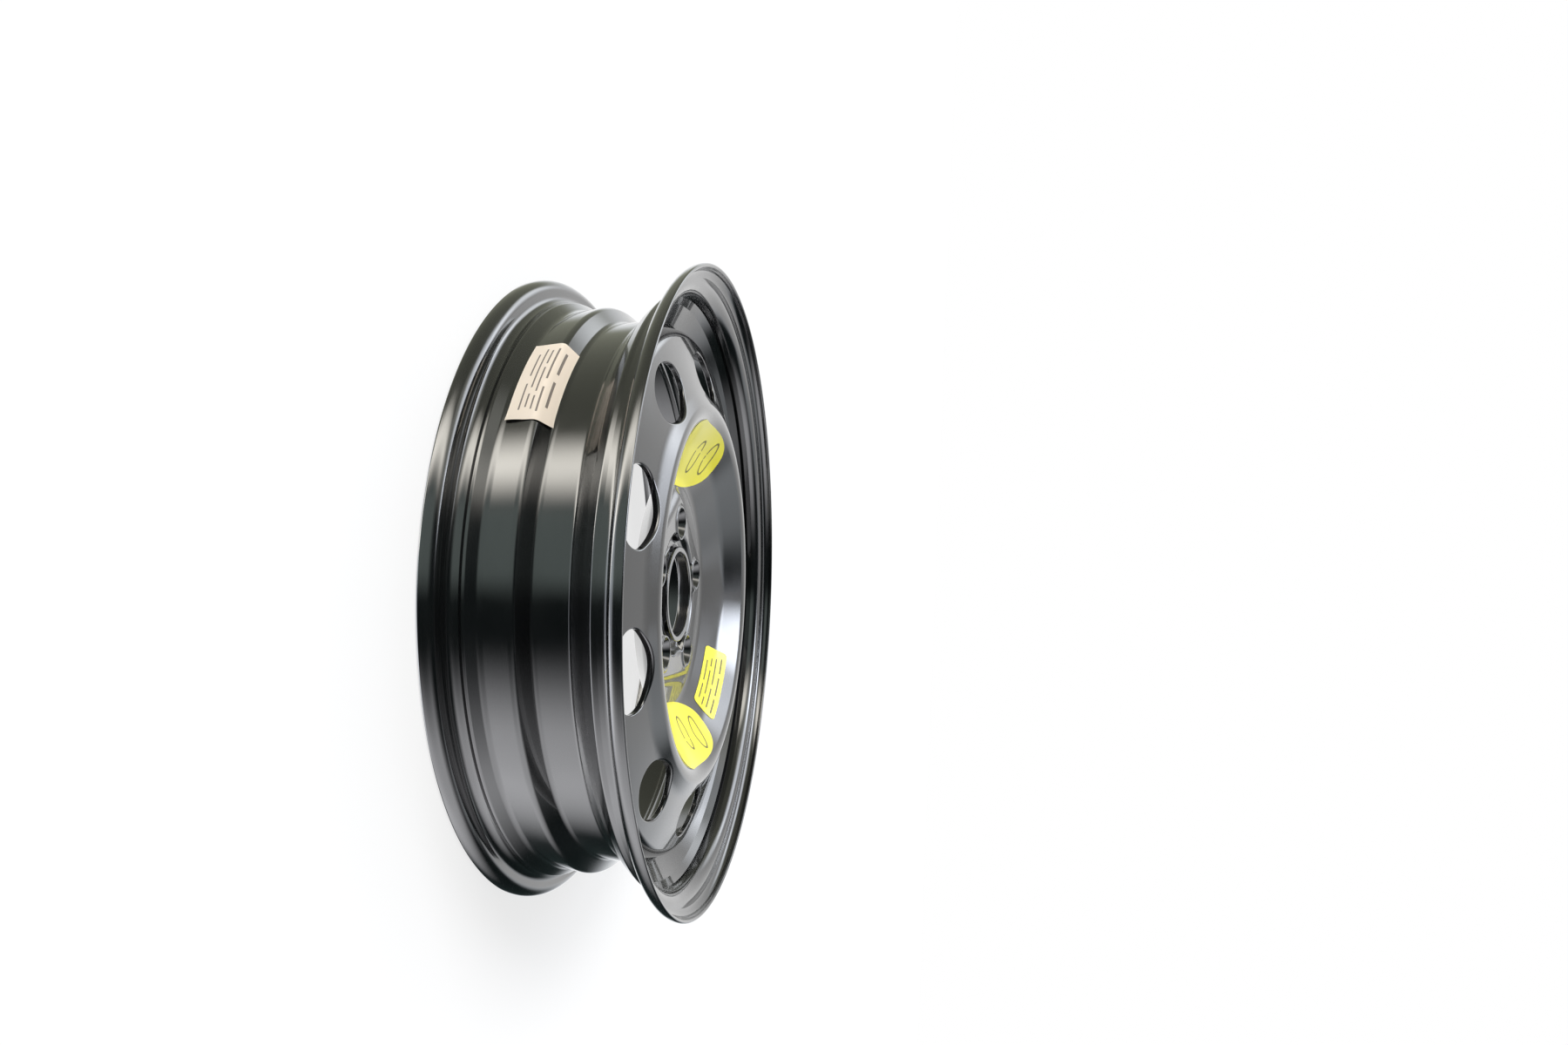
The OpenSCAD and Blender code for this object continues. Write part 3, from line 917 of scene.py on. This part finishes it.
class WHEEL_OT_finishes(bpy.types.Operator):
    """Enamel, paper, film and ink"""
    bl_idname = "wheel.finishes"
    bl_label = "Finishes"

    def execute(self, context):
        c = context.scene.wheel_colours
        names = FINISH_NAMES
        # Dipped and stoved enamel over pressed steel: a hard gloss that softens reflections a
        # little, because of a faint orange peel of about 3 mm and a satin body under its skin.
        made = surface(names["enamel"], c.enamel, 0.2, IOR=1.5, Coat_Weight=1.0, Coat_IOR=1.5,
                       Coat_Roughness=0.035)
        grain(made, 3.0, 0.003, 0.13, 0.24)
        # The same enamel over a weld: drawn into the ripples, a little duller.
        made = surface(names["weld"], c.enamel, 0.3, IOR=1.5, Coat_Weight=0.5, Coat_Roughness=0.15)
        grain(made, 1.2, 0.05, 0.25, 0.45)
        # Uncoated paper: matt, with a faint cloudiness of its fibres.
        made = surface(names["paper"], c.paper, 0.6)
        grain(made, 0.8, 0.02, 0.55, 0.7)
        # Printing inks, here and on the film: flat colours with no texture of their own.
        surface(names["paper_ink"], c.paper_ink, 0.6)
        # Cast vinyl film: soft gloss, pulled over the metal with faint waves.
        made = surface(names["film"], c.film, 0.3, Coat_Weight=0.4, Coat_Roughness=0.12)
        grain(made, 5.0, 0.02, 0.28, 0.42)
        surface(names["film_ink"], c.film_ink, 0.4)
        return {"FINISHED"}


# ---------------------------------------------------------------- stage


# Share of plain white in the floor as the camera sees it; the rest is lit, and keeps the shadow.
FLOOR_WHITE = 0.75
# Share of the studio's light that matt surfaces get, so that a colour renders as it is written.
MATT_LEVEL = 0.38


def aim(direction, height):
    """Unit vector towards an azimuth and an elevation in degrees."""
    a, e = math.radians(direction), math.radians(height)
    return (math.cos(a) * math.cos(e), math.sin(a) * math.cos(e), math.sin(e))


# Upright light fields round the wheel's axis: direction, inner and outer half width, colour.
AROUND = {
    "window": (131, 0, 19, (7.8, 7.5, 6.9)),
    "table": (252, 8, 52, (2.75, 2.75, 2.85)),
    "backdrop": (5, 20, 42, (1.3, 1.38, 1.5)),
    "ceiling": (85, 40, 62, (0.36, 0.36, 0.28)),
    "far wall": (163, 10, 24, (0.7, 0.82, 0.78)),
}
# Round soft lights, all before the wheel's outer side but "white below", which lights its back:
# azimuth, elevation, inner and outer angle, colour.
OVERHEAD = {
    "softbox": (42, 60, 12, 34, (4.6, 4.8, 5.2)),
    "small lamp": (57, 75, 3, 13, (8.0, 8.5, 9.5)),
    "low lamp": (38, 28, 4, 18, (2.6, 2.7, 2.9)),
    "white below": (200, -85, 12, 36, (1.8, 1.9, 2.1)),
    "side lamp": (100, 55, 8, 24, (1.2, 1.2, 1.1)),
    "lower lamp": (320, 58, 8, 24, (1.1, 1.15, 1.2)),
}
# Colour of the studio between the lights, and the sines of elevation where upright fields fade.
DIM = (0.02, 0.03, 0.03)
FADE_END, FADE_START = 0.90, 0.48
# The lamp that casts the shadow: strength, width and direction in degrees.
LAMP_ENERGY, LAMP_WIDTH, LAMP_AT = 1.9, 30, (117, 50)
# The camera was fitted to the photograph: place in metres, right and down, lens and shift.
CAMERA_AT = (-0.7131, -0.0096, 0.1932)
CAMERA_RIGHT = (0.40176, 0.03823, 0.91494)
CAMERA_DOWN = (0.01537, -0.99927, 0.03500)
LENS, SENSOR, SHIFT = 22.0, 36.0, (0.16667, 0.05)
FLOOR_REACH = 30


class WHEEL_OT_stage(bpy.types.Operator):
    """Pale floor, studio light and the camera"""
    bl_idname = "wheel.stage"
    bl_label = "Stage"

    def execute(self, context):
        self.floor(context)
        self.world(context)
        self.lamp(context)
        self.camera(context)
        context.scene.view_settings.view_transform = "Standard"
        return {"FINISHED"}

    def background_rays(self, tree, kinds):
        """1 for the rays that see the plain background, otherwise 0."""
        path = node(tree, "ShaderNodeLightPath")
        share = path.outputs[kinds[0]]
        for kind in kinds[1:]:
            share = node(tree, "ShaderNodeMath", [(0, share), (1, path.outputs[kind])],
                         operation="MAXIMUM").outputs[0]
        return share

    def floor(self, context):
        """A wide plane under the wheel, partly plain white as the camera sees it."""
        z, reach = CAD_BOX[0].z, FLOOR_REACH
        mesh = bpy.data.meshes.new("floor")
        corners = [(x * reach, y * reach, z) for x, y in ((-1, -1), (1, -1), (1, 1), (-1, 1))]
        mesh.from_pydata(corners, [], [(0, 1, 2, 3)])
        floor = bpy.data.objects.new("floor", mesh)
        context.scene.collection.objects.link(floor)
        made = surface(FINISH_NAMES["floor"], context.scene.wheel_colours.floor, 0.9,
                       Specular_IOR_Level=0.0)
        tree = made.node_tree
        light = node(tree, "ShaderNodeEmission", Strength=1.0)
        rays = ("Is Camera Ray", "Is Transmission Ray", "Is Glossy Ray")
        share = node(tree, "ShaderNodeMath", [(0, self.background_rays(tree, rays))],
                     operation="MULTIPLY")
        share.inputs[1].default_value = FLOOR_WHITE
        mix = node(tree, "ShaderNodeMixShader", [
            (0, share.outputs[0]), (1, tree.nodes["Principled BSDF"].outputs[0]),
            (2, light.outputs[0])])
        tree.links.new(mix.outputs[0], tree.nodes["Material Output"].inputs["Surface"])
        mesh.materials.append(made)
        floor.visible_glossy = False

    def lit(self, tree, total, tone, shares):
        """Adds a light of one tone, weakened by each share, to the total."""
        glow = None
        for share in shares:
            weaker = node(tree, "ShaderNodeVectorMath", [("Scale", share)], operation="SCALE")
            if glow is None:
                weaker.inputs[0].default_value = tone
            else:
                tree.links.new(glow.outputs[0], weaker.inputs[0])
            glow = weaker
        return node(tree, "ShaderNodeVectorMath", [(0, total), (1, glow.outputs[0])],
                    operation="ADD").outputs[0]

    def fade(self, tree, value, dark, bright):
        """From 0 to 1 between two values, with soft ends."""
        made = node(tree, "ShaderNodeMapRange", [("Value", value)],
                    interpolation_type="SMOOTHSTEP")
        made.inputs["From Min"].default_value = dark
        made.inputs["From Max"].default_value = bright
        return made.outputs[0]

    def world(self, context):
        """The studio's light; the background, and where enamel mirrors it, is plain white."""
        world = bpy.data.worlds.new("studio")
        context.scene.world = world
        world.use_nodes = True
        tree = world.node_tree
        back = tree.nodes["Background"]
        way = node(tree, "ShaderNodeTexCoord").outputs["Generated"]
        part = node(tree, "ShaderNodeSeparateXYZ", [(0, way)])
        turn_at = node(tree, "ShaderNodeMath", [(0, part.outputs["Y"]), (1, part.outputs["X"])],
                       operation="ARCTAN2")
        fall = self.fade(tree, part.outputs["Z"], FADE_END, FADE_START)
        total = node(tree, "ShaderNodeCombineXYZ", **dict(zip("XYZ", DIM))).outputs[0]
        bands = {}
        for name, (direction, inner, outer, tone) in AROUND.items():
            off = node(tree, "ShaderNodeMath", [(0, turn_at.outputs[0])], operation="SUBTRACT")
            off.inputs[1].default_value = math.radians(direction)
            near = node(tree, "ShaderNodeMath", [(0, off.outputs[0])], operation="WRAP")
            near.inputs[1].default_value, near.inputs[2].default_value = math.pi, -math.pi
            near = node(tree, "ShaderNodeMath", [(0, near.outputs[0])], operation="ABSOLUTE")
            bands[name] = self.fade(tree, near.outputs[0], math.radians(outer),
                                    math.radians(inner))
            total = self.lit(tree, total, tone, [bands[name], fall])
        for direction, height, inner, outer, tone in OVERHEAD.values():
            dot = node(tree, "ShaderNodeVectorMath", [(0, way)], operation="DOT_PRODUCT")
            dot.inputs[1].default_value = aim(direction, height)
            soft = self.fade(tree, dot.outputs["Value"], math.cos(math.radians(outer)),
                             math.cos(math.radians(inner)))
            total = self.lit(tree, total, tone, [soft])
        tree.links.new(total, back.inputs["Color"])
        gloss = node(tree, "ShaderNodeLightPath").outputs["Is Glossy Ray"]
        level = node(tree, "ShaderNodeMapRange", [("Value", gloss)])
        level.inputs["To Min"].default_value = MATT_LEVEL
        tree.links.new(level.outputs[0], back.inputs["Strength"])
        white = node(tree, "ShaderNodeBackground", Color=(1, 1, 1, 1), Strength=1.0)
        mirrored = node(tree, "ShaderNodeMath", [(0, gloss), (1, bands["backdrop"])],
                        operation="MULTIPLY")
        share = self.background_rays(tree, ("Is Camera Ray", "Is Transmission Ray"))
        share = node(tree, "ShaderNodeMath", [(0, share), (1, mirrored.outputs[0])],
                     operation="MAXIMUM").outputs[0]
        mix = node(tree, "ShaderNodeMixShader", [(0, share), (1, back.outputs[0]),
                                                 (2, white.outputs[0])])
        tree.links.new(mix.outputs[0], tree.nodes["World Output"].inputs["Surface"])

    def lamp(self, context):
        """One soft lamp that gives the wheel its shadow on the floor."""
        data = bpy.data.lights.new("soft lamp", "SUN")
        data.energy, data.angle = LAMP_ENERGY, math.radians(LAMP_WIDTH)
        lamp = bpy.data.objects.new("soft lamp", data)
        lamp.visible_glossy = False
        lamp.rotation_euler = Vector(aim(*LAMP_AT)).to_track_quat("Z", "Y").to_euler()
        context.scene.collection.objects.link(lamp)

    def camera(self, context):
        """The photograph's camera, turned so that the wheel stands upright in the picture."""
        data = bpy.data.cameras.new("camera")
        data.lens, data.sensor_width = LENS, SENSOR
        data.shift_x, data.shift_y = SHIFT
        camera = bpy.data.objects.new("camera", data)
        context.scene.collection.objects.link(camera)
        right, down = Vector(CAMERA_RIGHT), Vector(CAMERA_DOWN)
        turn_to = Matrix((right, -down, right.cross(-down))).transposed().to_4x4()
        camera.matrix_world = Matrix.Translation(CAMERA_AT) @ turn_to
        data.clip_start, data.clip_end = 0.01, 100
        context.scene.camera = camera


# ---------------------------------------------------------------- add-on


class WHEEL_PT_panel(bpy.types.Panel):
    """Lists the operators, sizes and colours"""
    bl_label = "Wheel"
    bl_idname = "WHEEL_PT_panel"
    bl_space_type = "VIEW_3D"
    bl_region_type = "UI"
    bl_category = "Wheel"

    def draw(self, context):
        for step in STEPS:
            self.layout.operator(step.bl_idname)
        for group in (context.scene.wheel_sizes, context.scene.wheel_colours):
            for name in group.__annotations__:
                self.layout.prop(group, name)


STEPS = (WHEEL_OT_finishes, WHEEL_OT_rim, WHEEL_OT_disc, WHEEL_OT_welds, WHEEL_OT_disc_labels,
         WHEEL_OT_rim_label, WHEEL_OT_stage)
CLASSES = (WheelSizes, WheelColours, *STEPS, WHEEL_PT_panel)


def register():
    for c in CLASSES:
        bpy.utils.register_class(c)
    bpy.types.Scene.wheel_sizes = bpy.props.PointerProperty(type=WheelSizes)
    bpy.types.Scene.wheel_colours = bpy.props.PointerProperty(type=WheelColours)


def unregister():
    del bpy.types.Scene.wheel_sizes
    del bpy.types.Scene.wheel_colours
    for c in reversed(CLASSES):
        bpy.utils.unregister_class(c)


def main():
    register()
    bpy.ops.wheel.finishes()
    bpy.ops.wheel.rim()
    bpy.ops.wheel.disc()
    bpy.ops.wheel.welds()
    bpy.ops.wheel.disc_labels()
    bpy.ops.wheel.rim_label()
    bpy.ops.wheel.stage()


if __name__ == "__main__":
    main()
